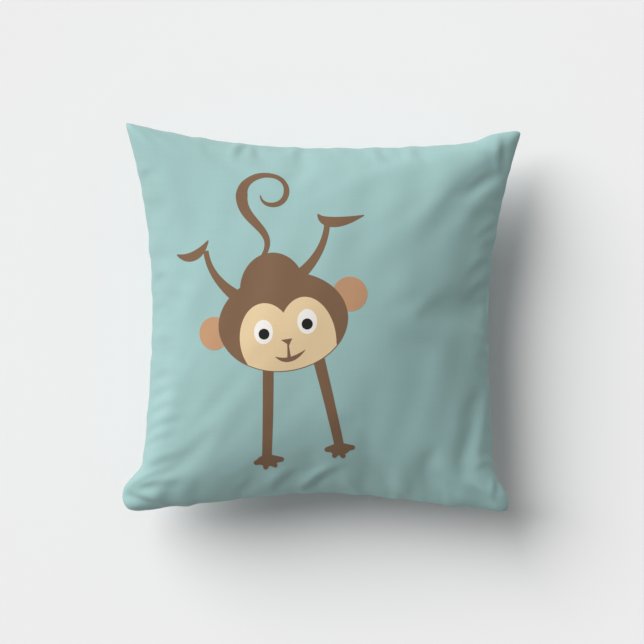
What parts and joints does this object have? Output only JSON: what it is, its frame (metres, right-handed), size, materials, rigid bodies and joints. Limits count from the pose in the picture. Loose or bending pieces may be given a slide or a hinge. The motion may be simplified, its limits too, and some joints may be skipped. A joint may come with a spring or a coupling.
{
  "type": "throw pillow",
  "caption": "Square throw pillow: printed woven cover with a zip in its bottom seam, over a separate fibre-filled insert. The front print is a plain cartoon monkey in a handstand.",
  "frame": {"origin": "under the middle of the pillow, on the floor that it lies on, at the centre of its flat resting patch", "axes": "+Z out of the printed front face, +Y towards the top of the print, +X to the right of the print; the zip runs along X in the -Y seam"},
  "size_m": [0.39, 0.382, 0.1452],
  "materials": {
    "cover_fabric": "plain woven polyester, matt, soft handle",
    "cover_thread": "spun polyester thread in the cover's colour",
    "ink_fur": "brown dye print in the weave, matt",
    "ink_face": "tan dye print in the weave, matt",
    "ink_ears": "light brown dye print in the weave, matt",
    "ink_white": "undyed white in the weave, matt",
    "ink_black": "black dye print in the weave, matt",
    "ink_brown_line": "brown dye print in the weave, matt",
    "label_tape": "woven satin tape, blank",
    "lining": "light non-woven lining",
    "fill_fibre": "lofted hollow polyester fibre",
    "zip_tape": "woven herringbone zip tape",
    "zip_coil": "nylon monofilament coil",
    "zip_metal": "nickel-plated zinc, satin"
  },
  "bodies": {
    "pillow": {"cover_front": "cover_fabric", "cover_back": "cover_fabric", "seam_thread": "cover_thread", "care_label": "label_tape", "print_fur": "ink_fur", "print_face": "ink_face", "print_ears": "ink_ears", "print_eye_whites": "ink_white", "print_pupils": "ink_black", "print_nose_mouth": "ink_brown_line", "insert_case_front": "lining", "insert_case_back": "lining", "insert_seam_thread": "lining", "insert_fill": "fill_fibre", "zip_tape_front": "zip_tape", "zip_tape_back": "zip_tape", "zip_coil_front": "zip_coil", "zip_coil_back": "zip_coil", "zip_stitching_front": "cover_thread", "zip_stitching_back": "cover_thread", "zip_top_stop_front": "zip_metal", "zip_top_stop_back": "zip_metal", "zip_bottom_stop": "zip_metal"},
    "slider": {"zip_slider": "zip_metal"},
    "pull_tab": {"zip_pull_tab": "zip_metal"}
  },
  "joints": [
    {"name": "zip_slide", "type": "slide", "parent": "pillow", "child": "slider", "axis": [-1, 0, 0], "range_m": [0, 0.228]},
    {"name": "pull_tab_swing", "type": "hinge", "parent": "slider", "child": "pull_tab", "pos_m": [0.1185, -0.16805, 0.07], "axis": [0, 0, 1], "range_deg": [0, 120]}
  ]
}
